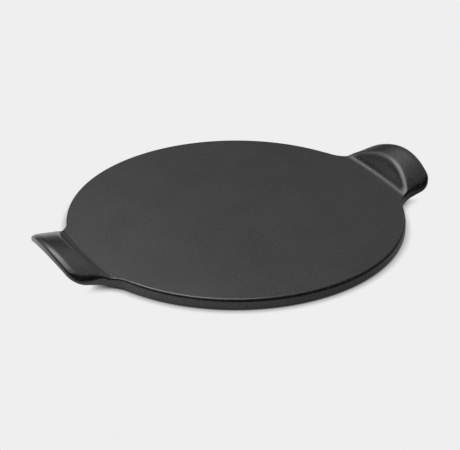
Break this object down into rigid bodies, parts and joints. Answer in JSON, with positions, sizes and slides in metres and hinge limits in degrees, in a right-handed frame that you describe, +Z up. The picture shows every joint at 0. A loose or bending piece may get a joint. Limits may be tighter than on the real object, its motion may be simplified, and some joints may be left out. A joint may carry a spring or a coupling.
{
  "type": "pizza stone",
  "caption": "Round ceramic baking plate for pizza with a satin black glaze, a flat cooking face, upswept arched handles that leave room for the fingers, and a bare foot ring below.",
  "frame": {"origin": "under the middle of the plate, on the surface that the foot ring stands on", "axes": "+Z up, +X from one handle to the other, +Y across the handles"},
  "size_m": [0.4556, 0.37, 0.0345],
  "materials": {
    "clay": "bare fired clay, matt and fine-grained",
    "glaze": "satin black glaze"
  },
  "bodies": {
    "root": {"clay_body": "clay", "glaze_coat": "glaze"}
  },
  "joints": []
}
